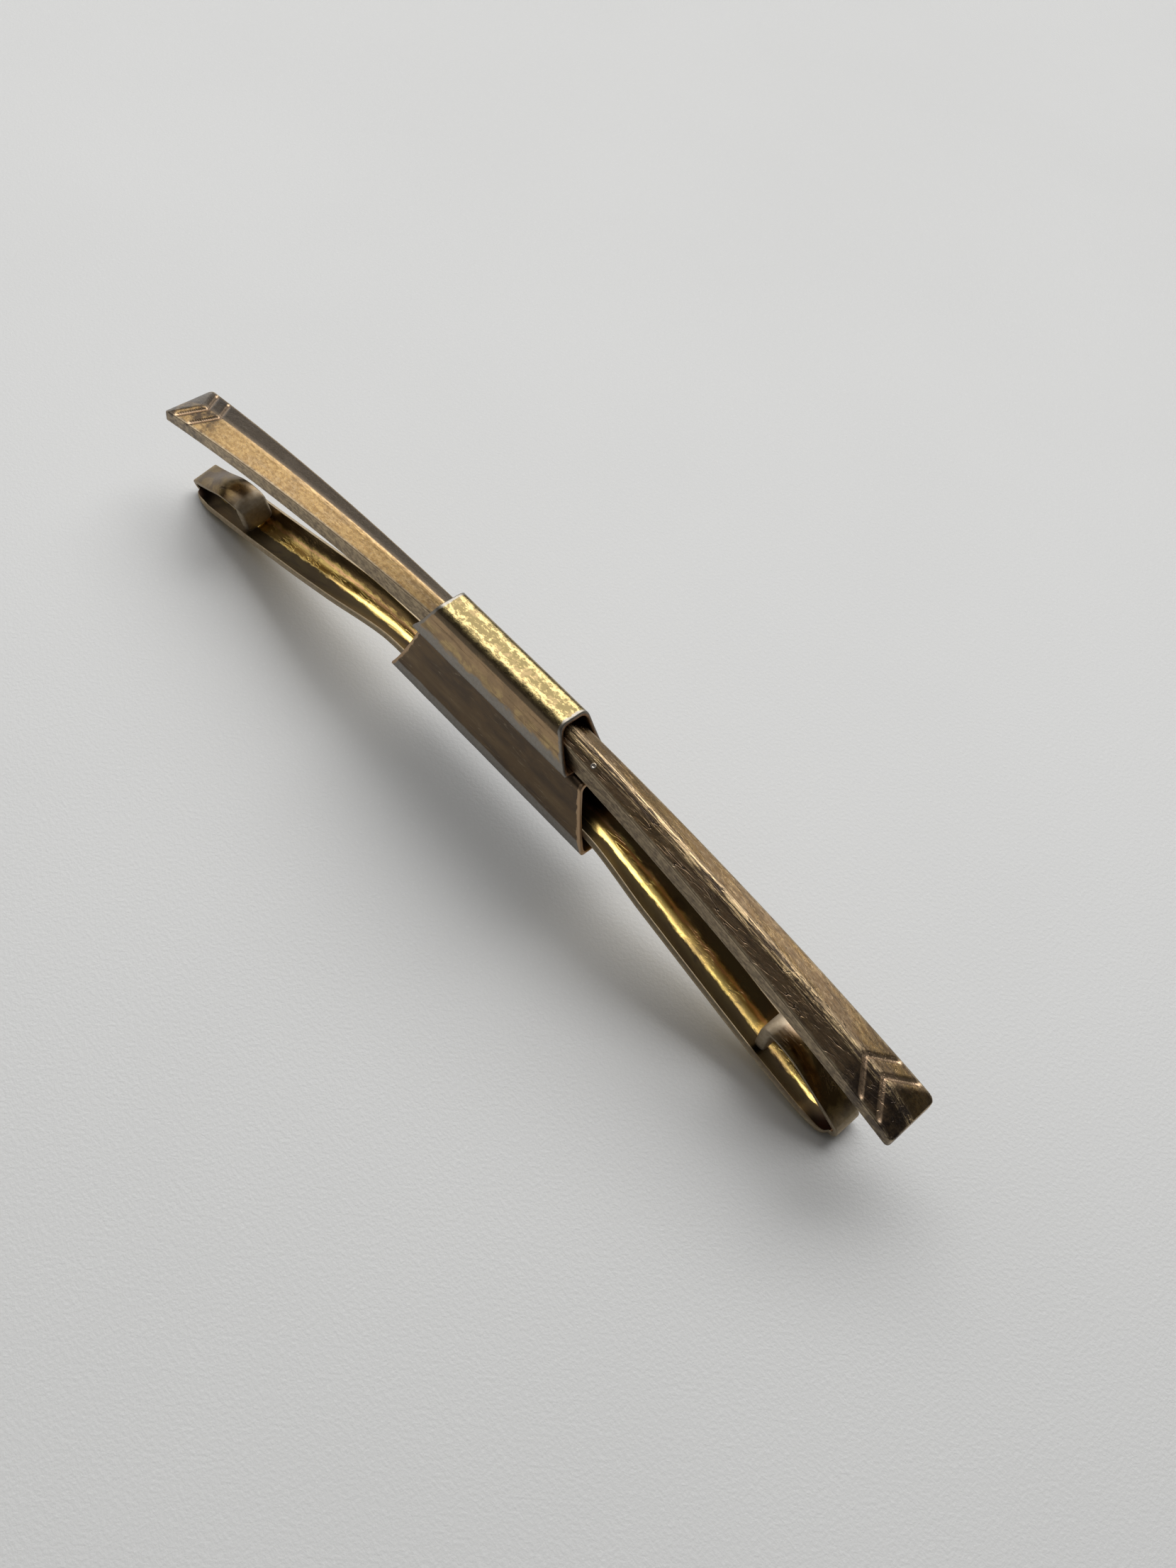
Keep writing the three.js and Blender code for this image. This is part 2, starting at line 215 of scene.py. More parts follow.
def bend_points(before, corner, after, reach, steps):
    """Points round a corner, starting and ending "reach" away from it."""
    corner = np.array(corner, float)
    into = np.array(before, float) - corner
    out = np.array(after, float) - corner
    start = corner + into / np.linalg.norm(into) * reach
    end = corner + out / np.linalg.norm(out) * reach
    points = []
    for t in np.linspace(0, 1, steps + 1):
        points.append((1 - t) ** 2 * start + 2 * t * (1 - t) * corner + t ** 2 * end)
    return points


def soft_min(a, b, reach):
    """The smaller of two numbers, rounded off where they differ by less than the reach."""
    near = max(reach - abs(a - b), 0) / reach
    return min(a, b) - near ** 2 * reach / 4


def smooth(value, start, end):
    """From 0 to 1, eased, as the value goes from the start to the end."""
    t = min(max((value - start) / (end - start), 0), 1)
    return t * t * (3 - 2 * t)


def wobble(x, y, z, scale):
    return noise.noise(Vector((x * scale, y * scale, z * scale)))


# ---- Front bar ----

BAR_EDGE = 0.06          # rounding of the long edges
END_EDGE = 0.05          # rounding round the end faces
RIDGE_SOFTNESS = 0.07
ROOF_STEPS = 16
FINE_RUN = 5.0           # the last stretch of each end has close stations for its chevrons
COARSE_STEP = 0.35
FINE_STEP = 0.042
NO_HIP = 100.0           # a height far above the bar
HIP_BULGE = 0.1          # how far above the side wall the end facet's curve bends toward
STEEP_SIDE = 0.36        # of a chevron's width, from its deepest line outward
SLACK_SIDE = 0.72        # the same, from that line inward
RUB_DEPTH = 0.006        # unevenness of the handled metal
BLEND = 0.04             # over which the end facet meets the roof and the walls


def underside(bar, x):
    return bar.end_base + bar.arch * (1 - (x / bar.half) ** 2)


def half_width(bar, x):
    reach = min(abs(x) / bar.half, 1)
    spread = (bar.end_width - bar.waist_width) * reach ** bar.taper
    into = max(abs(x) - (bar.half - bar.corner), 0)
    cut = bar.corner - math.sqrt(max(bar.corner ** 2 - into ** 2, 0))
    return (bar.waist_width + spread) / 2 - cut


def wall_height(bar, x):
    return bar.waist_wall + (bar.end_wall - bar.waist_wall) * abs(x) / bar.half


def hip_height(bar, x):
    """Height of the end facet over the place x, far above the bar where there is none."""
    apex = bar.half - bar.hip
    if abs(x) < apex - 0.2:
        return NO_HIP
    ridge = underside(bar, apex) + wall_height(bar, apex) + bar.roof_rise
    shoulder = bar.half - bar.hip / 3
    shoulder_z = underside(bar, shoulder) + wall_height(bar, shoulder) + HIP_BULGE
    t = np.linspace(0, 1, 60)
    run = (1 - t) ** 2 * apex + 2 * t * (1 - t) * shoulder + t ** 2 * bar.half
    rise = (1 - t) ** 2 * ridge + 2 * t * (1 - t) * shoulder_z + t ** 2 * (bar.end_base + bar.hip_edge)
    if abs(x) < apex:
        return ridge + (apex - abs(x)) * 0.5
    return float(np.interp(abs(x), run, rise))


def bar_stations(bar):
    rough = np.arange(0, bar.half - FINE_RUN, COARSE_STEP)
    fine = np.arange(bar.half - FINE_RUN, bar.half - bar.corner - 0.01, FINE_STEP)
    turn = bar.half - bar.corner + bar.corner * np.sin(np.linspace(0, math.pi / 2, 14))
    right = np.concatenate([rough, fine, turn])
    return np.concatenate([-right[:0:-1], right])


def chevron_cut(bar, x, y):
    """Share of the full depth that the chevrons are cut at a place on the roof."""
    deepest = 0.0
    for i in (0, 1):
        middle = bar.half - bar.hip - bar.chevron_offset - i * bar.chevron_pitch
        middle += bar.chevron_sweep * abs(y)
        away = abs(x) - middle
        reach = bar.chevron_width * (STEEP_SIDE if away > 0 else SLACK_SIDE)
        deepest = max(deepest, 1 - abs(away) / reach)
    return deepest


def bar_ring(bar, x):
    """One section of the bar: its half width, its underside, and its points with what each is part of."""
    full = half_width(bar, x)
    into = max(abs(x) - (bar.half - END_EDGE), 0)
    base = END_EDGE - math.sqrt(max(END_EDGE ** 2 - into ** 2, 0))
    w = full - base
    low = underside(bar, x)
    wall = wall_height(bar, x)
    cap = hip_height(bar, x) - low - base
    eave = soft_min(wall, cap, BLEND)
    rise = bar.roof_rise / (full - 0.08)

    def roof(y):
        over = wall + rise * (full - math.sqrt(y * y + RIDGE_SOFTNESS ** 2))
        return soft_min(over, cap, BLEND)

    right = []
    for y in np.linspace(0, w - BAR_EDGE - 0.03, 6)[1:]:
        right.append((y, base, "base"))
    for p in bend_points((0, base), (w, base), (w, eave), BAR_EDGE, 4):
        right.append((p[0], p[1], "low"))
    for z in np.linspace(base + BAR_EDGE, eave - BAR_EDGE, 7)[1:-1]:
        right.append((w, z, "wall"))
    for p in bend_points((w, base), (w, eave), (w - BAR_EDGE, roof(w - BAR_EDGE)), BAR_EDGE, 4):
        right.append((p[0], p[1], "eave"))
    reach = w - BAR_EDGE - 0.012
    for t in np.linspace(1, 0, ROOF_STEPS + 1)[1:]:
        y = reach * t ** 1.25
        right.append((y, roof(y), "roof"))
    left = [(-y, z, part) for y, z, part in reversed(right[:-1])]
    ring = [(0, base, "base")] + right + left
    return w, low, ring


def build_bar(bar):
    rings, edge, wall, roof_side, groove, ridge = [], [], [], [], [], []
    apex = bar.half - bar.hip
    for x in bar_stations(bar):
        w, low, ring = bar_ring(bar, x)
        points = []
        end = smooth(abs(x), bar.half - 0.16, bar.half - 0.01)
        for y, z, part in ring:
            cut_depth = 0.0
            if part == "roof":
                cut_depth = chevron_cut(bar, x, y) * (1 - smooth(abs(y) / w, 0.84, 0.97))
            worn = RUB_DEPTH * wobble(x, y * 3, z, 1.3) if part in ("eave", "roof", "low") else 0
            points.append((x, y, low + z - cut_depth * bar.chevron_depth + worn))
            on_ridge = math.exp(-(y / 0.20) ** 2) if part == "roof" and abs(x) < apex + 0.15 else 0
            hip_line = 0
            if part == "roof" and abs(x) > apex - 0.1:
                along = (abs(x) - apex) / bar.hip
                hip_line = math.exp(-((abs(y) - along * w) / 0.10) ** 2) * 0.8
            edge.append(max(1.0 if part in ("low", "eave") else 0, on_ridge, hip_line, end))
            wall.append(1.0 if part in ("wall", "low", "eave") else 0)
            roof_side.append(np.sign(y) if part in ("roof", "eave") else 0)
            groove.append(cut_depth)
            ridge.append(on_ridge)
        rings.append(points)
    marks = {"edge": edge, "wall": wall, "side": roof_side, "groove": groove, "ridge": ridge}
    return add_piece("arched_bar", rings, marks, closed=False)


# ---- Sleeve ----

LIP = 0.06               # rounding of the sheet's cut edges
FLAT_STEPS = (10, 14, 8, 14)     # along the base, a side, the top and the other side
BEND_STEPS = 8
GATHER = 0.9             # how strongly points on a flat gather toward the bends
TUBE_STATIONS = 56
MOUTH_CURVE = 0.72       # below 1, the mouths sweep outward faster toward the base
MOUTH_ROUND = 0.34       # radius of the mouths' corners at the base, seen from the side
BROAD_DENT = 0.012
FINE_DENT = 0.004


def tube_outline(low, high, half_low, half_high, bends, inset):
    """A tube's section at an inset from its outer face, anticlockwise from the bend on its base's -Y side."""
    lean = (half_low - half_high) / (high - low)
    corners = []
    for z, side in ((low + inset, -1), (low + inset, 1), (high - inset, 1), (high - inset, -1)):
        reach = half_low - lean * (z - low) - inset
        corners.append((side * reach, z))
    turns = []
    for i, corner in enumerate(corners):
        reach = bends[i // 2] - inset / 2
        turns.append(bend_points(corners[i - 1], corner, corners[(i + 1) % 4], reach, BEND_STEPS))
    points = []
    for i, turn in enumerate(turns):
        points.extend(turn)
        start = turn[-1]
        stop = turns[(i + 1) % 4][0]
        for t in np.linspace(0, 1, FLAT_STEPS[i])[1:-1]:
            eased = t - GATHER * math.sin(2 * math.pi * t) / (2 * math.pi)
            points.append(start * (1 - eased) + stop * eased)
    return np.array(points)


def tube_profile(sheet):
    """Sections along the outer face, round the +X mouth, back along the inner face and round the -X mouth.

    Each has its share of the way through the sheet, its place from -1 to 1, and its run past that place.
    """
    along = np.linspace(-1, 1, TUBE_STATIONS)
    rounding = []
    for angle in np.linspace(0, math.pi / 2, 5)[1:]:
        rounding.append((LIP * (1 - math.cos(angle)) / sheet, LIP * math.sin(angle)))
    mouth = rounding + [(1 - into, beyond) for into, beyond in reversed(rounding)]
    profile = [(0.0, t, 0.0) for t in along]
    profile += [(into, 1.0, beyond) for into, beyond in mouth]
    profile += [(1.0, t, 0.0) for t in reversed(along)]
    profile += [(into, -1.0, beyond) for into, beyond in reversed(mouth)]
    return profile


def build_tube(name, low, high, half_low, half_high, low_length, high_length, sheet, bends, seed, shift):
    outer = tube_outline(low, high, half_low, half_high, bends, 0.0)
    inner = tube_outline(low, high, half_low, half_high, bends, sheet)
    rings, edge, inside, level, top = [], [], [], [], []
    for into, t, beyond in tube_profile(sheet):
        points = []
        for k in range(len(outer)):
            y, z = outer[k] * (1 - into) + inner[k] * into
            part = (z - low) / (high - low)
            flare = max(part, 0.0) ** MOUTH_CURVE
            mouth = (low_length * (1 - flare) + high_length * flare) / 2
            hang = max(MOUTH_ROUND - (z - low), 0)
            mouth -= MOUTH_ROUND - math.sqrt(max(MOUTH_ROUND ** 2 - hang ** 2, 0))
            x = t * (mouth - LIP + beyond)
            dent = 0
            if into <= 0.5:
                dent = BROAD_DENT * wobble(x + seed, y * 1.5, z * 1.5, 0.45)
                dent += FINE_DENT * wobble(x, y, z + seed, 2.2)
            scale = 1 + dent / max(abs(half_low), 0.5)
            points.append((x + shift, y * scale, z))
            lip = 1.0 if abs(t) == 1.0 else smooth(abs(t), 0.93, 1.0) * 0.6
            edge.append(lip)
            inside.append(into)
            level.append(part)
            top.append(smooth(part, 0.90, 0.97))
        rings.append(points)
    marks = {"edge": edge, "inside": inside, "level": level, "top": top}
    return add_piece(name, rings, marks, closed=True)


# ---- Spring ----

SPRING_SPLIT = 3.0       # inside the lower tube, where the middle piece ends and the arms begin
FOLD_LEAVE = 62          # degrees above level, round the fold, where the tongue starts
FINGER_BEND = 0.42       # radius between the tongue and the finger
EVEN_REACH = 4           # an arm's first heights are averaged over this many points to each side
EVEN_END = 60            # the first point after them that keeps its own height
RIM_STEPS = 7
STRIP_STEPS = 18
OUTER_FACE, RIM, INNER_FACE = range(3)
TWIST_LIFT = 0.12        # keeps the turned arm off the surface


def bezier(points, steps):
    p = [np.array(q, float) for q in points]
    found = []
    for t in np.linspace(0, 1, steps + 1):
        found.append((1 - t) ** 3 * p[0] + 3 * t * (1 - t) ** 2 * p[1] + 3 * t * t * (1 - t) * p[2]
                     + t ** 3 * p[3])
    return found


def spring_line(spring):
    """The belly line of one arm in X and Z, each point with its place: curve number plus 0 to 1."""
    layer = spring.thickness / 2
    radius = spring.fold_radius
    fold_x = spring.reach - radius - layer
    fold_z = spring.fold_lift + radius + layer
    crest_x = spring.reach - spring.tongue_length
    crest_z = fold_z + radius + spring.tongue_rise
    leave = math.radians(FOLD_LEAVE)
    bend = FINGER_BEND
    root = (spring.hinge, spring.root)
    belly = (spring.reach - spring.belly, layer)
    slope = (spring.root - layer) / (belly[0] - spring.hinge)
    reach = (belly[0] - spring.hinge) * 0.34
    start = (fold_x, fold_z - radius)
    end = (fold_x + radius * math.cos(leave), fold_z + radius * math.sin(leave))
    line = []

    def run(points, number):
        for i, p in enumerate(points):
            if i or not line:
                line.append((p[0], p[1], number + i / (len(points) - 1)))

    inside = [(x, spring.root) for x in np.linspace(SPRING_SPLIT, spring.hinge, 24)]
    run(inside, -1)
    run(bezier([root, (root[0] + reach, root[1] - reach * slope * 0.55),
                (belly[0] - reach, belly[1] + reach * slope * 0.72), belly], 70), 0)
    run(bezier([belly, (belly[0] + 0.6, belly[1]), (start[0] - 0.6, start[1]), start], 16), 1)
    turn = np.linspace(-math.pi / 2, leave, 17)
    run([(fold_x + radius * math.cos(a), fold_z + radius * math.sin(a)) for a in turn], 2)
    run(bezier([end, (end[0] - 1.9, end[1] + 1.0), (crest_x + 1.7, crest_z + 0.02),
                (crest_x, crest_z)], 30), 3)
    turn = np.linspace(math.pi / 2, math.pi, 10)
    run([(crest_x + bend * math.cos(a), crest_z - bend + bend * math.sin(a)) for a in turn], 4)
    drop = crest_z - bend - spring.finger_height
    share = [0.0, 0.15, 0.3, 0.45, 0.6] + [0.7 + 0.3 * math.sin(a) for a in np.linspace(0, 1.50, 9)]
    for part in share[1:]:
        line.append((crest_x - bend, crest_z - bend - drop * part, 5 + part))
    points = np.array(line)
    smoothed = points.copy()
    for i in range(EVEN_REACH, EVEN_END):
        smoothed[i, 1] = points[i - EVEN_REACH:i + EVEN_REACH + 1, 1].mean()
    return smoothed


def strip_size(spring, part):
    """Width, thickness and trough of the strip at one of the line's places."""
    def ease(a, b, start, end):
        return a + (b - a) * smooth(part, start, end)

    if part <= 2:
        turn = max(part - 1, 0)
        width = ease(spring.width, spring.arm_width, 0.0, 0.3)
        width = spring.fold_width + (width - spring.fold_width) * math.sqrt(max(1 - turn ** 2, 0))
        return width, spring.thickness, ease(spring.trough, 0, 1.1, 2)
    if part <= 4:
        return ease(spring.fold_width, spring.tongue_width, 3, 4), spring.thickness, ease(
            0, spring.trough / 3, 3, 3.6)
    tip = max(part - 5, 0)
    close = math.sqrt(max(1 - (max(tip - 0.7, 0) / 0.3) ** 2, 0.004))
    width = ease(spring.tongue_width, spring.finger_width, 4, 5) * close
    thickness = ease(spring.thickness, spring.finger_thickness, 4, 5) * close
    return width, thickness, ease(spring.trough / 3, 0, 4, 5)


def strip_ring(x, z, along, width, thickness, trough):
    """One section of the strip, with the face that each point is on."""
    up = np.array((-along[1], along[0]))
    half = width / 2
    layer = thickness / 2
    lean = math.atan2(2 * trough, half)
    rim = min(layer * 0.55, half * 0.3)
    reach = max(half - rim * math.cos(lean) - layer * math.sin(lean), half * 0.3)

    def at(t, out, lift):
        tangent = np.array((reach, 2 * trough * t))
        tangent /= np.linalg.norm(tangent)
        normal = np.array((-tangent[1], tangent[0]))
        return np.array((reach * t, trough * t * t)) + tangent * out + normal * lift

    def edge(t, start, stop):
        points = []
        for a in np.linspace(start, stop, RIM_STEPS + 2)[1:-1]:
            out = math.copysign(abs(math.cos(a)) ** 0.6, math.cos(a)) * rim
            points.append((*at(t, out, layer * math.sin(a)), RIM))
        return points

    across = np.sin(np.linspace(-math.pi / 2, math.pi / 2, STRIP_STEPS + 1))
    flat = [(*at(t, 0, -layer), OUTER_FACE) for t in across]
    flat += edge(1, -math.pi / 2, math.pi / 2)
    flat += [(*at(t, 0, layer), INNER_FACE) for t in across[::-1]]
    flat += edge(-1, math.pi / 2, 3 * math.pi / 2)
    points = [(x + up[0] * lift, y, z + up[1] * lift) for y, lift, kind in flat]
    kinds = [kind for y, lift, kind in flat]
    return points, kinds


def twisted(points, spring, x, side):
    """Points of one section, turned about the belly line; only the -X arm is out of true."""
    if side > 0:
        return points
    share = smooth(x, 7.6, 15.0)
    turn = math.radians(spring.twist) * share
    along = min(max((x - spring.hinge) / (spring.reach - spring.belly - spring.hinge), 0), 1)
    pivot = spring.root * (1 - along) + spring.thickness / 2 * along
    made = []
    for px, y, z in points:
        rise = z - pivot
        turned = pivot + rise * math.cos(turn) + y * math.sin(turn) + TWIST_LIFT * share
        made.append((px, y * math.cos(turn) - rise * math.sin(turn), turned))
    return made


def build_arm(name, spring, side):
    line = spring_line(spring)
    rings, rim, inner, tip, place = [], [], [], [], []
    for i, (x, z, part) in enumerate(line):
        before = line[max(i - 1, 0)]
        after = line[min(i + 1, len(line) - 1)]
        along = np.array((after[0] - before[0], after[1] - before[1]))
        along /= np.linalg.norm(along)
        width, thickness, trough = strip_size(spring, part)
        ripple = 0.02 * wobble(x * side, 0, part, 0.35) if part < 1 else 0
        points, kinds = strip_ring(x, z, along, width + ripple, thickness, trough)
        slide = spring.shift * smooth(x, 8.0, 14.0)
        points = twisted(points, spring, x, side)
        rings.append([(p[0] * side - slide, p[1], p[2]) for p in points])
        rim += [float(kind == RIM) for kind in kinds]
        inner += [float(kind == INNER_FACE) for kind in kinds]
        tip += [smooth(part, 3.75, 4.3)] * len(kinds)
        place += [part] * len(kinds)
    marks = {"rim": rim, "inner": inner, "tip": tip, "part": place}
    return add_piece(name, rings, marks, closed=False, flip=side > 0)


def build_middle(spring):
    rings, rim, inner = [], [], []
    for x in np.linspace(-SPRING_SPLIT, SPRING_SPLIT, 13):
        points, kinds = strip_ring(x, spring.root, np.array((1.0, 0.0)), spring.width, spring.thickness,
                                   spring.trough)
        rings.append(points)
        rim += [float(kind == RIM) for kind in kinds]
        inner += [float(kind == INNER_FACE) for kind in kinds]
    marks = {"rim": rim, "inner": inner, "tip": [0.0] * len(rim), "part": [0.0] * len(rim)}
    return add_piece("spring_middle", rings, marks, closed=False, flip=True)


# ---- Node helpers ----

class Value:
    """A node's output. Arithmetic on it adds math nodes to its tree."""

    def __init__(self, tree, socket):
        self.tree = tree
        self.socket = socket

    def math(self, operation, other=0.0):
        return output(self.tree, "ShaderNodeMath", {0: self, 1: other}, operation=operation)

    def __add__(self, other):
        return self.math("ADD", other)

    def __sub__(self, other):
        return self.math("SUBTRACT", other)

    def __rsub__(self, other):
        return output(self.tree, "ShaderNodeMath", {0: other, 1: self}, operation="SUBTRACT")

    def __mul__(self, other):
        return self.math("MULTIPLY", other)

    def __abs__(self):
        return self.math("ABSOLUTE")

    def larger(self, other):
        return self.math("MAXIMUM", other)


def fill(node, sockets):
    """Link a node's inputs to values, or set them to numbers."""
    for key, given in sockets.items():
        if isinstance(given, Value):
            given.tree.links.new(given.socket, node.inputs[key])
        else:
            node.inputs[key].default_value = given


def put(tree, kind, sockets=None, **settings):
    made = tree.nodes.new(kind)
    for key, setting in settings.items():
        setattr(made, key, setting)
    fill(made, sockets or {})
    return made


def output(tree, kind, sockets=None, which=0, **settings):
    """One output of a new node, by its number or its name."""
    return Value(tree, put(tree, kind, sockets, **settings).outputs[which])


def axes(place):
    """X, Y and Z of a place."""
    split = put(place.tree, "ShaderNodeSeparateXYZ", {0: place})
    return [Value(place.tree, socket) for socket in split.outputs]


def remap(value, low, high, to_low=0.0, to_high=1.0):
    """From 0 to 1, eased, as the value goes from low to high, or between the two numbers after them."""
    sockets = {"Value": value, "From Min": low, "From Max": high, "To Min": to_low, "To Max": to_high}
    return output(value.tree, "ShaderNodeMapRange", sockets, interpolation_type="SMOOTHSTEP")


def band(value, middle, outer, inner):
    """1 within "inner" of the middle and 0 past "outer"."""
    return remap(abs(value - middle), outer, inner)


def rgba(value):
    """A colour for a socket: a node's output as it is, or three numbers with a solid alpha."""
    return value if isinstance(value, Value) else (*value, 1.0)


def mix(share, a, b, how="MIX"):
    """Colour a, and colour b over it by the share."""
    sockets = {0: share, 6: rgba(a), 7: rgba(b)}
    return output(share.tree, "ShaderNodeMix", sockets, 2, data_type="RGBA", blend_type=how)


def mix_value(share, a, b):
    return output(share.tree, "ShaderNodeMix", {0: share, 2: a, 3: b}, data_type="FLOAT")


def noise_at(place, scale, detail, roughness, distortion=0.0):
    sockets = {"Vector": place, "Scale": scale, "Detail": detail, "Roughness": roughness,
               "Distortion": distortion}
    return output(place.tree, "ShaderNodeTexNoise", sockets)


def stretched(place, x, y=1.0, z=1.0):
    """A place scaled along its axes: below 1, what is drawn there grows long along the axis."""
    return output(place.tree, "ShaderNodeMapping", {"Vector": place, "Scale": (x, y, z)})


def start_group(name, **defaults):
    """A new node group that takes a Vector and some numbers, by name, and puts out a Mask."""
    tree = bpy.data.node_groups.new(name, "ShaderNodeTree")
    tree.interface.new_socket(name="Vector", in_out="INPUT", socket_type="NodeSocketVector")
    for key, default in defaults.items():
        socket = tree.interface.new_socket(name=key, in_out="INPUT", socket_type="NodeSocketFloat")
        socket.default_value = default
    tree.interface.new_socket(name="Mask", in_out="OUTPUT", socket_type="NodeSocketFloat")
    inputs = tree.nodes.new("NodeGroupInput").outputs
    return [Value(tree, inputs[key]) for key in ("Vector", *defaults)]


def finish_group(mask):
    put(mask.tree, "NodeGroupOutput", {"Mask": mask})


def use_group(name, place, **numbers):
    """The mask of a node group at a place."""
    made = place.tree.nodes.new("ShaderNodeGroup")
    made.node_tree = bpy.data.node_groups[name]
    fill(made, {"Vector": place, **numbers})
    return Value(place.tree, made.outputs["Mask"])


def tarnish_group():
    """Cloudy patches: Mask is 1 where the tarnish is thick."""
    place, scale, coverage, softness = start_group("Tarnish clouds", Scale=1.0, Coverage=0.5, Softness=0.15)
    broad = remap(noise_at(place, scale, 6.0, 0.62, 0.6), 0.25, 0.75)
    limit = 1.0 - coverage
    finish_group(remap(broad, limit - softness, limit + softness))


def scratches_group():
    """Fine lines that run along the piece: Mask is 1 in a line, and it fades in and out on its way."""
    place, spacing, stretch, width, breaks = start_group(
        "Long scratches", Across=6.0, Stretch=0.06, Width=0.02, Breaks=0.5)
    scale = output(place.tree, "ShaderNodeCombineXYZ", {0: stretch, 1: 1.0, 2: 1.0})
    drawn = output(place.tree, "ShaderNodeVectorMath", {0: place, 1: scale}, operation="MULTIPLY")
    line = remap(abs(noise_at(drawn, spacing, 1.5, 0.5) - 0.5), width, 0.0)
    shown = remap(noise_at(place, 0.8, 2.0, 0.5), breaks - 0.08, breaks + 0.08)
    finish_group(line * shown)


def pits_group():
    """Small round pits and specks: Mask is 1 in a pit."""
    place, scale, amount = start_group("Pits", Scale=6.0, Amount=0.3)
    cells = put(place.tree, "ShaderNodeTexVoronoi", {"Vector": place, "Scale": scale})
    away = Value(place.tree, cells.outputs["Distance"])
    cell_colour = Value(place.tree, cells.outputs["Color"])
    chance = output(place.tree, "ShaderNodeSeparateColor", {0: cell_colour})
    present = chance.math("LESS_THAN", amount)
    finish_group(remap(away, chance * 0.4 + 0.14, 0.02) * present)


def wear_group():
    """Rubbed edges: Mask follows the Edge value, broken up by noise."""
    place, edge, scale, amount = start_group("Edge wear", Edge=0.0, Scale=3.0, Amount=0.5)
    pushed = edge + (noise_at(place, scale, 4.0, 0.6) - 0.5) * 1.6
    limit = 1.0 - amount
    finish_group(remap(pushed, limit, limit + 0.25) * remap(edge, 0.03, 0.3))


BUMP_DEPTH = 0.00003     # metres, for the metals
GRAIN_DEPTH = 0.00004    # metres, for the pale sheet


def start_material(name):
    """A material with an empty tree, and its place in millimetres."""
    material = bpy.data.materials.new(name)
    material.use_nodes = True
    tree = material.node_tree
    tree.nodes.clear()
    where = output(tree, "ShaderNodeTexCoord", which="Object")
    return material, output(tree, "ShaderNodeVectorMath", {0: where, 3: 1 / MM}, operation="SCALE")


def finish_material(material, height, strength, depth, **shader_sockets):
    """Close a material's tree with its shader and its bumps, and give the material back."""
    tree = material.node_tree
    normal = output(tree, "ShaderNodeBump", {"Height": height, "Strength": strength, "Distance": depth})
    sockets = {key.replace("_", " "): given for key, given in shader_sockets.items()}
    shader = output(tree, "ShaderNodeBsdfPrincipled", {"Normal": normal, **sockets})
    put(tree, "ShaderNodeOutputMaterial", {"Surface": shader})
    return material


def finish_metal(material, base, roughness, height, strength):
    return finish_material(material, height, strength, BUMP_DEPTH, Base_Color=base, Roughness=roughness,
                           Metallic=1.0)


def marked(place, *names):
    """The marks that a piece's mesh carries under these names."""
    return [output(place.tree, "ShaderNodeAttribute", which="Fac", attribute_name=key) for key in names]


# ---- Metals ----

COPPER_FLANK = (0.60, 0.42, 0.27)
RAW_BRASS = (0.60, 0.47, 0.31)
# Bright scratches beside the ridge, partly a painted highlight
SCORE_AND_HIGHLIGHT = (0.95, 0.70, 0.38)
FLECK_BROWN = (0.34, 0.27, 0.20)
# Near left slope of the bar: tarnish with painted shade
SLOPE_TARNISH_AND_SHADE = (0.10, 0.065, 0.04)
SHADED_BROWN = (0.15, 0.12, 0.09)
MOTTLE_TINT = (0.55, 0.48, 0.42)
WALL_TAN, WALL_BROWN = (0.52, 0.41, 0.26), (0.22, 0.17, 0.12)
DROP_GREY, DROP_DARK = (0.60, 0.56, 0.50), (0.25, 0.20, 0.16)
SCORE_AND_HIGHLIGHT_Y = -0.16      # millimetres across the bar, beside its ridge


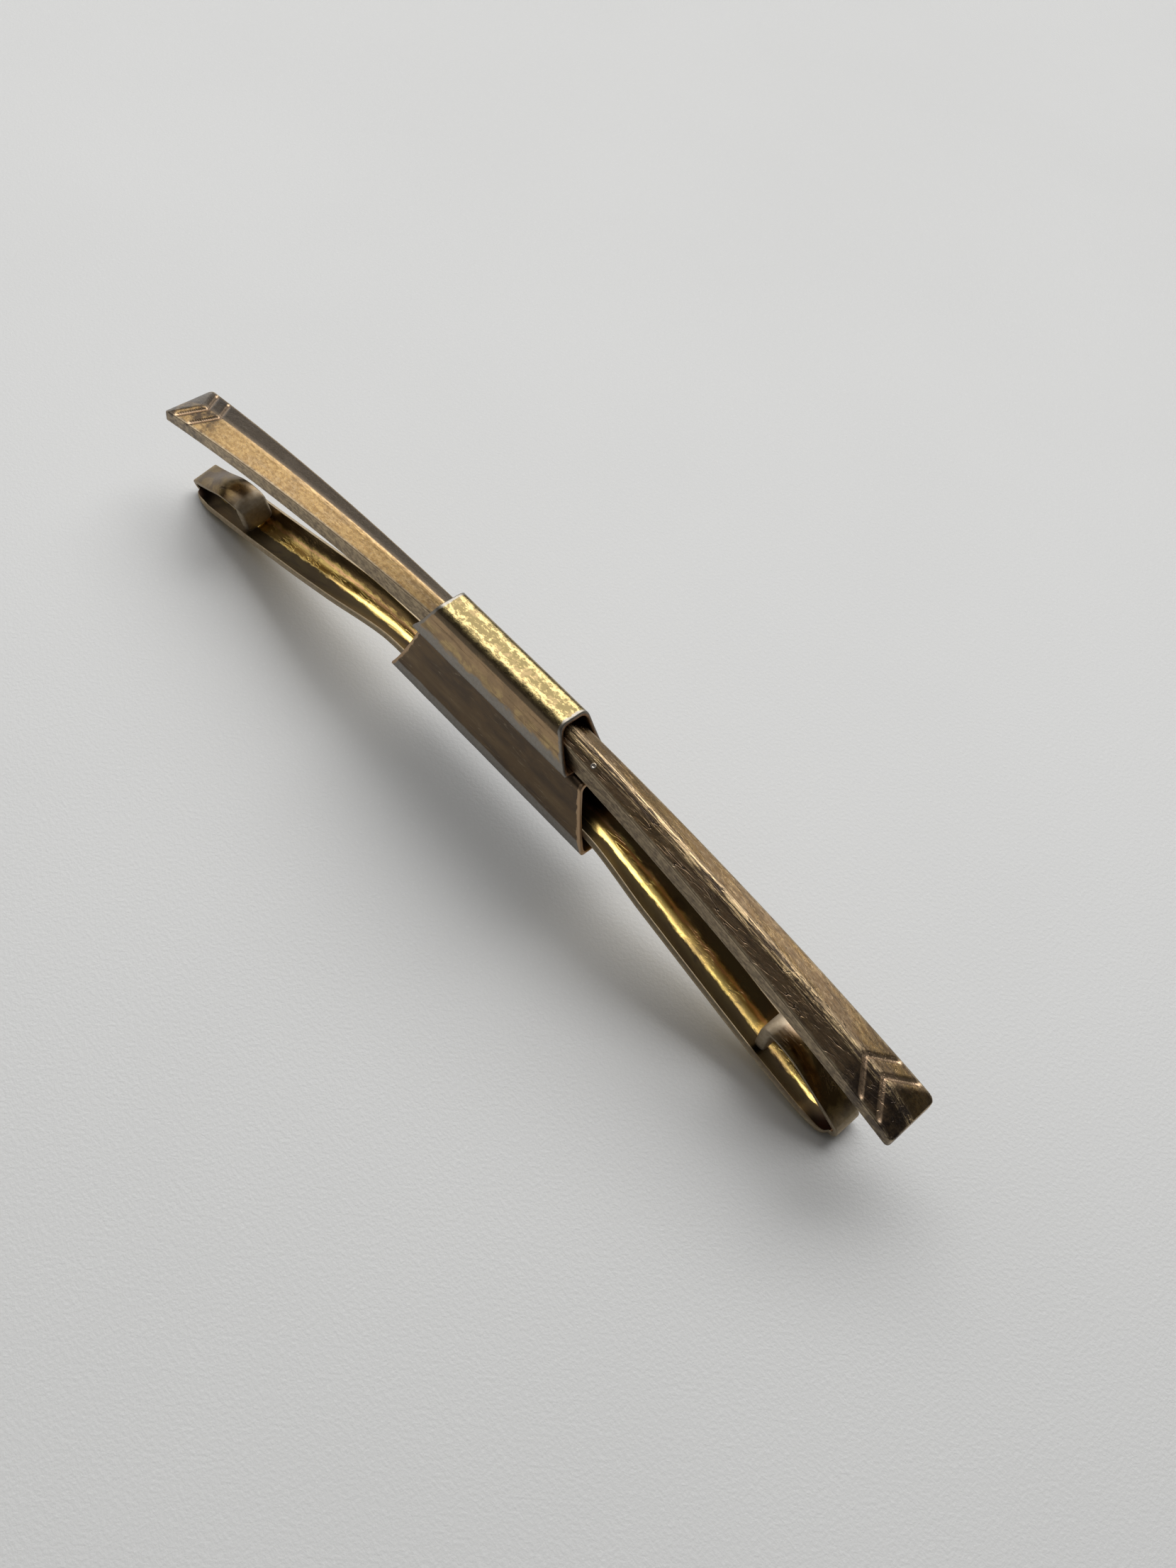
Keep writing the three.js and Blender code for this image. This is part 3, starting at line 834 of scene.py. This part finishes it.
def aged_brass(tints):
    """The front bar: soft gold, brown tarnish and painted shade on one slope, rubbed ridge, dirt in the
    chevrons.
    """
    material, place = start_material("aged_brass_bar")
    x, y = axes(place)[:2]
    edge, wall, side, groove, ridge = marked(place, "edge", "wall", "side", "groove", "ridge")
    dirt = tints.dark_tarnish
    near = remap(x, -9.0, 8.0)
    left = remap(side, 0.1, -0.1)
    roof = 1.0 - wall
    mottled = noise_at(stretched(place, 0.5), 6.5, 6.0, 0.68)
    # The left * near term adds tarnish on the near left slope, partly painted shade
    coverage = near * 0.42 + 0.16 + left * near * 0.22
    clouds = use_group("Tarnish clouds", stretched(place, 0.22), Scale=0.9, Coverage=coverage, Softness=0.35)
    base = mix(clouds, tints.soft_gold, tints.brown_brass)
    base = mix(remap(mottled, 0.38, 0.62, 0.0, 0.75), base, MOTTLE_TINT, "MULTIPLY")
    flecks = noise_at(stretched(place, 0.6), 15.0, 4.0, 0.7)
    base = mix(remap(flecks, 0.54, 0.66, 0.0, 0.5), base, FLECK_BROWN)
    # Painted shade, with tarnish, darkens the near left slope
    base = mix(left * near * 0.45, base, SLOPE_TARNISH_AND_SHADE)
    base = mix(wall * 0.85, base, mix(remap(mottled, 0.35, 0.65), WALL_TAN, WALL_BROWN))
    streak = noise_at(stretched(place, 0.07, 3.2, 3.2), 1.8, 6.0, 0.7)
    base = mix(remap(streak, 0.44, 0.70, 0.0, 0.75) * (near * 0.7 + 0.15), base, dirt)
    fine = use_group("Long scratches", place, Across=7.0, Stretch=0.035, Width=0.026, Breaks=0.50)
    deep = use_group("Long scratches", place, Across=2.6, Stretch=0.020, Width=0.015, Breaks=0.46)
    by_ridge = remap(ridge, 0.02, 0.5, 0.25, 1.0)
    cuts = (fine * by_ridge).larger(deep * left) * near * roof
    rubbed = use_group("Edge wear", stretched(place, 0.12, 5.0, 1.0), Edge=ridge, Scale=2.6, Amount=0.50)
    base = mix(rubbed * (near * 0.4 + 0.15), base, tints.bare_copper)
    shaded = (1.0 - near) * remap(side, -0.1, 0.1) * roof
    base = mix(shaded * 0.85, base, SHADED_BROWN)
    # Beside the ridge: the bright streaks are partly scratches and partly a painted highlight; the dark
    # streaks are dirt
    score_and_highlight_band = band(y, SCORE_AND_HIGHLIGHT_Y, 0.34, 0.14) * (near * roof)
    tangle = noise_at(stretched(place, 0.16, 7.0, 2.0), 1.5, 6.0, 0.75, 0.6)
    base = mix(remap(tangle, 0.50, 0.55) * score_and_highlight_band * 0.85, base, SCORE_AND_HIGHLIGHT)
    base = mix(remap(tangle, 0.48, 0.43) * score_and_highlight_band * 0.9, base, dirt)
    worn = use_group("Edge wear", place, Edge=edge, Scale=2.4, Amount=0.30) * (1.0 - ridge)
    base = mix(worn * 0.45, base, RAW_BRASS)
    base = mix(cuts * 0.9, base, dirt)
    smudge = noise_at(stretched(place, 0.8), 1.4, 6.0, 0.68)
    tip = remap(abs(x), 22.4, 24.2) * remap(smudge, 0.40, 0.60) * (left * 0.5 + 0.5)
    base = mix(tip * 0.9, base, dirt)
    broken = remap(mottled, 0.30, 0.50, 0.25, 1.0)
    base = mix(remap(groove, 0.04, 0.45) * broken * 0.8, base, COPPER_FLANK)
    base = mix(remap(groove, 0.80, 1.0) * 0.85, base, dirt)
    away = output(place.tree, "ShaderNodeVectorMath", {0: place, 1: LACQUER_DROP}, "Value",
                  operation="DISTANCE")
    drop = remap(away, 0.15, 0.12)
    hollow = remap(away, 0.08, 0.04)
    base = mix(drop * 0.8, base, DROP_GREY)
    base = mix(hollow * 0.5, base, DROP_DARK)
    roughness = mix_value(clouds, 0.20, 0.27) + wall * 0.10 + ridge * (near * -0.14 + 0.16)
    roughness = roughness + remap(mottled, 0.35, 0.65, 0.0, 0.08)
    grain = noise_at(stretched(place, 0.5), 16.0, 4.0, 0.65)
    lines = noise_at(stretched(place, 0.05), 13.0, 3.0, 0.6)
    height = grain * 0.30 + lines * by_ridge * 0.9 - cuts * 0.9 + mottled * 0.35
    height = height + (drop - hollow) + tangle * score_and_highlight_band * 1.6
    return finish_metal(material, base, roughness, height, 0.6)


DULL_ORANGE = (0.46, 0.31, 0.17)
OLIVE_PITTING = (0.13, 0.10, 0.045)
# Painted shade for the bend between the side faces and the top
SHOULDER_SHADE = (0.09, 0.07, 0.045)
SIDE_SHEEN = (0.62, 0.46, 0.21)
STREAK_BROWN = (0.14, 0.09, 0.05)
PATCH_BROWN = (0.30, 0.21, 0.11)
NICKEL_DARK = (0.22, 0.20, 0.17)
INNER_COPPER, INNER_BROWN = (0.34, 0.20, 0.11), (0.20, 0.12, 0.07)


def worn_gilt(tints):
    """The upper tube: bright pitted top, dull side faces, grey metal along its lower edges and corners."""
    material, place = start_material("worn_gilt_sleeve")
    y = axes(place)[1]
    edge, inside, level, top = marked(place, "edge", "inside", "level", "top")
    blotch = noise_at(stretched(place, 0.7), 1.6, 6.0, 0.62, 0.4)
    side = mix(remap(blotch, 0.36, 0.62), tints.dull_gilt, DULL_ORANGE)
    ragged = noise_at(stretched(place, 0.55), 5.0, 7.0, 0.78) + remap(abs(y), 0.42, 0.12, 0.0, 0.10)
    base = mix(top, side, mix(remap(ragged, 0.45, 0.58), tints.bright_gilt, OLIVE_PITTING))
    # Painted shade: a dark band along the sides just below the top bend
    base = mix(band(level, 0.85, 0.10, 0.05) * 0.85, base, SHOULDER_SHADE)
    sheen = band(level, 0.42, 0.16, 0.04) * remap(blotch, 0.42, 0.58)
    base = mix(sheen * 0.5, base, SIDE_SHEEN)
    streaks = remap(noise_at(stretched(place, 0.06), 5.0, 5.0, 0.7), 0.52, 0.64) * (1.0 - top)
    base = mix(streaks * 0.55, base, STREAK_BROWN)
    patch = use_group("Tarnish clouds", place, Scale=1.9, Coverage=0.30, Softness=0.12)
    base = mix(patch * 0.35, base, PATCH_BROWN)
    lips = use_group("Edge wear", place, Edge=edge, Scale=2.2, Amount=0.62)
    bare = remap(level + (blotch - 0.5) * 0.35, 0.36, 0.26).larger(lips * 0.9)
    speckled = mix(noise_at(place, 7.0, 5.0, 0.65), tints.nickel, NICKEL_DARK)
    base = mix(bare * 0.9, base, speckled)
    pits = use_group("Pits", place, Scale=5.0, Amount=0.20)
    base = mix(pits * 0.55, base, tints.dark_tarnish)
    copper = mix(remap(blotch, 0.4, 0.6), INNER_COPPER, INNER_BROWN)
    base = mix(remap(inside, 0.25, 0.6), base, copper)
    roughness = mix_value(bare, mix_value(top, 0.30, 0.20), 0.42)
    roughness = mix_value(inside, roughness, 0.5)
    ripple = noise_at(stretched(place, 0.45), 2.4, 3.0, 0.5)
    height = noise_at(place, 14.0, 4.0, 0.65) * 0.35 + ripple * 1.2 - pits * 0.5
    return finish_metal(material, base, roughness, height, 0.6)


UMBER = (0.11, 0.08, 0.055)
SIDE_GLOW = (0.28, 0.19, 0.10)
GREY_DARK = (0.20, 0.18, 0.155)
COPPER_LIP = (0.62, 0.42, 0.25)
DEEP_COPPER = (0.24, 0.14, 0.08)
SCRATCH_TAN = (0.45, 0.36, 0.24)


def brown_gilt(tints):
    """The lower tube: dark brown faces, a grey rubbed band at its base, coppery lips."""
    material, place = start_material("brown_gilt_sleeve")
    edge, inside, level = marked(place, "edge", "inside", "level")
    drawn = stretched(place, 0.35)
    blotch = noise_at(drawn, 1.5, 6.0, 0.62, 0.3)
    base = mix(remap(blotch, 0.35, 0.65), tints.brown_gilt, UMBER)
    glow = band(level, 0.44, 0.16, 0.02) * remap(blotch, 0.40, 0.60)
    base = mix(glow * 0.5, base, SIDE_GLOW)
    bare = remap(level + (blotch - 0.5) * 0.06, 0.215, 0.185)
    speckled = mix(noise_at(place, 6.0, 5.0, 0.65), tints.nickel, GREY_DARK)
    base = mix(bare * 0.9, base, speckled)
    lips = use_group("Edge wear", place, Edge=edge, Scale=2.0, Amount=0.5)
    base = mix(lips * 0.8, base, COPPER_LIP)
    base = mix(inside * 0.8, base, DEEP_COPPER)
    scratch = use_group("Long scratches", place, Across=4.0, Stretch=0.08, Width=0.014, Breaks=0.52)
    base = mix(scratch * 0.35, base, SCRATCH_TAN)
    height = noise_at(drawn, 12.0, 4.0, 0.65) * 0.25 + blotch * 0.6
    return finish_metal(material, base, mix_value(bare, 0.36, 0.46), height, 0.5)


DEEP_GOLD = (0.62, 0.42, 0.15)
CLOUD_BROWN = (0.16, 0.10, 0.05)
# Painted shade on the trough's near wall
NEAR_WALL_SHADE = (0.018, 0.013, 0.010)
# Painted shade on the trough's far wall
FAR_WALL_SHADE = (0.10, 0.055, 0.03)
# Painted highlight along the trough
HIGHLIGHT_LINE = (0.95, 0.55, 0.26)
TONGUE_BROWN = (0.085, 0.042, 0.02)
# Painted shade inside the folds
FOLD_INSIDE_SHADE = (0.08, 0.045, 0.03)
EDGE_BROWN = (0.42, 0.34, 0.24)


def polished_spring(tints):
    """The spring: polished gold faces, a painted orange reflection low in the trough, painted shade on the
    trough's walls and inside the folds, a painted highlight line, a painted pale reflection round the folds,
    pale cut edges and worn tips.
    """
    material, place = start_material("polished_spring_gold")
    y = axes(place)[1]
    rim, inner, tip, part = marked(place, "rim", "inner", "tip", "part")
    outer = 1.0 - inner
    drawn = stretched(place, 0.25)
    blotch = noise_at(drawn, 1.3, 6.0, 0.6, 0.4)
    base = mix(remap(blotch, 0.42, 0.66), tints.spring_gold, DEEP_GOLD)
    # Painted reflection: orange low in the trough
    orange_reflection_share = remap(part, 0.55, 1.6) * inner * remap(blotch, 0.30, 0.52)
    base = mix(orange_reflection_share * 0.8, base, tints.orange_reflection)
    clouds = use_group("Tarnish clouds", drawn, Scale=1.6, Coverage=0.24, Softness=0.12)
    base = mix(clouds * 0.6, base, CLOUD_BROWN)
    across = y + (noise_at(drawn, 3.5, 6.0, 0.7) - 0.5) * 0.5
    on_arm = inner * remap(part, 2.2, 1.9)
    # Painted shade: the near wall of the trough
    near_wall_shade = remap(across, -0.12, -0.28) * on_arm
    # Painted shade: the far wall of the trough, under the bar
    far_wall_shade = remap(across, 0.50, 0.62) * on_arm
    # Painted highlight: a bright line along the trough
    line = band(across, 0.42, 0.10, 0.03) * on_arm
    tongue = remap(part, 2.9, 3.05) * outer * remap(blotch, 0.60, 0.46, 0.70, 1.0)
    # Painted shade: inside each fold and under its tongue
    fold_inside_shade = remap(part, 1.45, 1.9) * remap(part, 3.4, 3.2) * inner
    mottled = noise_at(place, 5.0, 5.0, 0.65)
    pale = mix(remap(mottled, 0.35, 0.65), tints.cut_edge, EDGE_BROWN)
    cut = remap(rim + (mottled - 0.5) * 0.5, 0.25, 0.6)
    # Painted reflection: the outer face round each fold painted pale
    fold = remap(part, 1.8, 2.1) * remap(part, 3.15, 2.9) * outer
    layers = ((near_wall_shade, 0.96, NEAR_WALL_SHADE), (far_wall_shade, 0.85, FAR_WALL_SHADE), (line, 0.8, HIGHLIGHT_LINE),
              (tongue, 0.92, TONGUE_BROWN), (fold_inside_shade, 0.85, FOLD_INSIDE_SHADE), (cut, 0.9, pale), (tip, 0.9, pale),
              (fold, 0.92, pale))
    for share, strength, over in layers:
        base = mix(share * strength, base, over)
    roughness = remap(blotch, 0.4, 0.65) * 0.12 + 0.15
    roughness = mix_value(cut.larger(tip.larger(fold)), roughness, 0.58)
    roughness = mix_value(near_wall_shade * 0.9, roughness, 0.5)
    scratch = use_group("Long scratches", place, Across=7.0, Stretch=0.05, Width=0.02, Breaks=0.50)
    grain = noise_at(drawn, 11.0, 4.0, 0.6)
    height = grain * 0.18 + noise_at(drawn, 1.6, 2.0, 0.5) * 0.7 - scratch * 0.25
    return finish_metal(material, base, roughness, height, 0.45)


def pale_sheet_finish(tint):
    """The floor: a matt pale sheet with a fine sparkling grain."""
    material, place = start_material("pale_grained_sheet")
    grain = noise_at(place, 5.5, 2.0, 0.6)
    broad = noise_at(place, 0.05, 2.0, 0.5)
    shade = mix(remap(broad, 0.3, 0.7, 0.0, 0.25), tint, [v * 0.93 for v in tint])
    shade = mix(remap(grain, 0.55, 0.75, 0.0, 0.12), shade, (0.9, 0.9, 0.9))
    return finish_material(material, grain, 0.45, GRAIN_DEPTH, Base_Color=shade, Roughness=0.42,
                           Specular_IOR_Level=0.45)


# ---- Stage ----

def soft_light(name, toward, distance, wide, tall, power):
    """A rectangular soft light in the direction "toward", aimed at the object."""
    lamp = bpy.data.lights.new(name, "AREA")
    lamp.shape = "RECTANGLE"
    lamp.size = wide
    lamp.size_y = tall
    lamp.energy = power
    holder = bpy.data.objects.new(name, lamp)
    direction = Vector(toward).normalized()
    holder.location = direction * distance
    holder.rotation_euler = direction.to_track_quat("Z", "Y").to_euler()
    bpy.context.scene.collection.objects.link(holder)
    return holder


WINDOW_SIDE = (-0.60, 0.55, 0.58)
ROOM_DARK = 0.07
ROOM_BRIGHT = 0.75
ROOM_SEEN = (0.62, 0.62, 0.61)


def room_light(strength):
    """A dim room, bright toward its window side and dark at the horizon; plain and pale where it is seen."""
    world = bpy.data.worlds.new("room")
    bpy.context.scene.world = world
    world.use_nodes = True
    tree = world.node_tree
    tree.nodes.clear()
    where = output(tree, "ShaderNodeTexCoord", which="Generated")
    z = axes(where)[2]
    toward = output(tree, "ShaderNodeVectorMath", {0: where, 1: WINDOW_SIDE}, "Value",
                    operation="DOT_PRODUCT")
    window = remap(toward, 0.42, 0.88) * remap(z, 0.10, 0.42)
    seen = output(tree, "ShaderNodeLightPath", which="Is Camera Ray")
    shade = mix(seen, window * ROOM_BRIGHT + ROOM_DARK, ROOM_SEEN)
    back = output(tree, "ShaderNodeBackground", {"Color": shade, "Strength": strength})
    put(tree, "ShaderNodeOutputWorld", {"Surface": back})


CAMERA_TARGET = (0.004688, 0.001815, 0.003)
CAMERA_BEARING = 36.83   # degrees from -Y toward +X
CAMERA_HEIGHT = 54.28    # degrees above the horizon
CAMERA_ROLL = 13.37
CAMERA_DISTANCE = 0.07325
CAMERA_LENS = 33.94      # millimetres, for a 36 mm long side


def add_camera():
    a, e, r = (math.radians(v) for v in (CAMERA_BEARING, CAMERA_HEIGHT, CAMERA_ROLL))
    back = Vector((math.sin(a) * math.cos(e), -math.cos(a) * math.cos(e), math.sin(e)))
    level = Vector((math.cos(a), math.sin(a), 0))
    upright = back.cross(level)
    right = level * math.cos(r) + upright * math.sin(r)
    up = upright * math.cos(r) - level * math.sin(r)
    data = bpy.data.cameras.new("view")
    data.lens = CAMERA_LENS
    data.sensor_width = 36
    data.clip_start = 0.001
    data.clip_end = 10
    holder = bpy.data.objects.new("view", data)
    turn = Matrix((right, up, back)).transposed()
    holder.matrix_world = Matrix.Translation(Vector(CAMERA_TARGET) + back * CAMERA_DISTANCE) @ turn.to_4x4()
    bpy.context.scene.collection.objects.link(holder)
    bpy.context.scene.camera = holder


# ---- Operators ----

def metal(name):
    """The named metal, made the first time it is asked for."""
    makers = {
        "aged_brass_bar": aged_brass,
        "worn_gilt_sleeve": worn_gilt,
        "brown_gilt_sleeve": brown_gilt,
        "polished_spring_gold": polished_spring,
    }
    if "Tarnish clouds" not in bpy.data.node_groups:
        tarnish_group()
        scratches_group()
        pits_group()
        wear_group()
    if name in bpy.data.materials:
        return bpy.data.materials[name]
    return makers[name](bpy.context.scene.collar_bar_colours)


def dress(piece, material, slot, *nodes):
    piece.data.materials.append(metal(material))
    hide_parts(*nodes)


class COLLARBAR_OT_front_bar(bpy.types.Operator):
    """Build the arched front bar with its ridge, hips and chevrons"""
    bl_idname = "collar_bar.front_bar"
    bl_label = "Front Bar"

    def execute(self, context):
        bar = sizes(context.scene.collar_bar_front)
        bar.half = bar.overall / 2
        piece = build_bar(bar)
        dress(piece, "aged_brass_bar", "aged_brass", "front_bar")
        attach(piece, "root")
        return {"FINISHED"}


class COLLARBAR_OT_sleeve(bpy.types.Operator):
    """Build the two joined tubes with their mitred mouths"""
    bl_idname = "collar_bar.sleeve"
    bl_label = "Sleeve"

    def execute(self, context):
        s = sizes(context.scene.collar_bar_sleeve)
        upper = build_tube("upper_tube", UPPER_LOW.z / MM, UPPER_HIGH.z / MM, s.upper_width / 2,
                           s.upper_top / 2, s.middle_length, s.top_length, s.sheet,
                           (s.bend, s.top_bend), 3.1, 0.0)
        dress(upper, "worn_gilt_sleeve", "worn_gilt", "front_sleeve")
        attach(upper, "root")
        lower = build_tube("lower_tube", LOWER_LOW.z / MM, LOWER_HIGH.z / MM, s.lower_width / 2,
                           s.lower_top / 2, s.base_length, s.middle_length, s.sheet,
                           (s.bend, s.bend), 9.7, s.shift)
        dress(lower, "brown_gilt_sleeve", "brown_gilt", "back_sleeve")
        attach(lower, "root")
        return {"FINISHED"}


class COLLARBAR_OT_spring(bpy.types.Operator):
    """Build the spring: its middle inside the lower tube and its two arms"""
    bl_idname = "collar_bar.spring"
    bl_label = "Spring"

    def execute(self, context):
        spring = sizes(context.scene.collar_bar_spring)
        middle = build_middle(spring)
        dress(middle, "polished_spring_gold", "spring_gold", "spring_root")
        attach(middle, "root")
        for side, body in ((1, "right_arm"), (-1, "left_arm")):
            word = body.split("_")[0]
            arm = build_arm(f"{word}_folded_arm", spring, side)
            dress(arm, "polished_spring_gold", "spring_gold", f"{word}_spring_arm")
            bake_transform(arm)
        return {"FINISHED"}


class COLLARBAR_OT_stage(bpy.types.Operator):
    """Lay the pale sheet and set up the lights and the camera"""
    bl_idname = "collar_bar.stage"
    bl_label = "Stage"

    def execute(self, context):
        stage = context.scene.collar_bar_stage
        half = stage.floor_size / 2
        mesh = bpy.data.meshes.new("pale_sheet")
        mesh.from_pydata([(-half, -half, 0), (half, -half, 0), (half, half, 0), (-half, half, 0)], [],
                         [(0, 1, 2, 3)])
        mesh.materials.append(pale_sheet_finish(stage.floor_colour))
        sheet = bpy.data.objects.new("pale_sheet", mesh)
        sheet.location.z = -0.00002
        context.scene.collection.objects.link(sheet)
        soft_light("soft_light_behind", (-0.37, 0.51, 0.78), 0.7, 0.95, 0.48, stage.key_power)
        soft_light("soft_light_left", (-0.85, -0.25, 0.62), 0.7, 0.5, 0.4, stage.fill_power)
        room_light(stage.sky)
        context.scene.view_settings.view_transform = "Standard"
        add_camera()
        return {"FINISHED"}


class COLLARBAR_PT_panel(bpy.types.Panel):
    """Buttons and sizes for the collar bar"""
    bl_label = "Collar Bar"
    bl_idname = "COLLARBAR_PT_panel"
    bl_space_type = "VIEW_3D"
    bl_region_type = "UI"
    bl_category = "Collar Bar"

    def draw(self, context):
        for kind in OPERATORS:
            self.layout.operator(kind.bl_idname)
        for key in GROUPS:
            group = getattr(context.scene, key)
            box = self.layout.box()
            for name in group.__annotations__:
                box.prop(group, name)


OPERATORS = (COLLARBAR_OT_front_bar, COLLARBAR_OT_sleeve, COLLARBAR_OT_spring, COLLARBAR_OT_stage)
GROUPS = {
    "collar_bar_front": BarSizes,
    "collar_bar_sleeve": SleeveSizes,
    "collar_bar_spring": SpringSizes,
    "collar_bar_colours": MetalColours,
    "collar_bar_stage": StageSettings,
}


def register():
    for kind in (*GROUPS.values(), *OPERATORS, COLLARBAR_PT_panel):
        bpy.utils.register_class(kind)
    for key, kind in GROUPS.items():
        setattr(bpy.types.Scene, key, PointerProperty(type=kind))


def unregister():
    for key in GROUPS:
        delattr(bpy.types.Scene, key)
    for kind in reversed((*GROUPS.values(), *OPERATORS, COLLARBAR_PT_panel)):
        bpy.utils.unregister_class(kind)


def main():
    register()
    bpy.ops.collar_bar.front_bar()
    bpy.ops.collar_bar.sleeve()
    bpy.ops.collar_bar.spring()
    bpy.ops.collar_bar.stage()


if __name__ == "__main__":
    main()
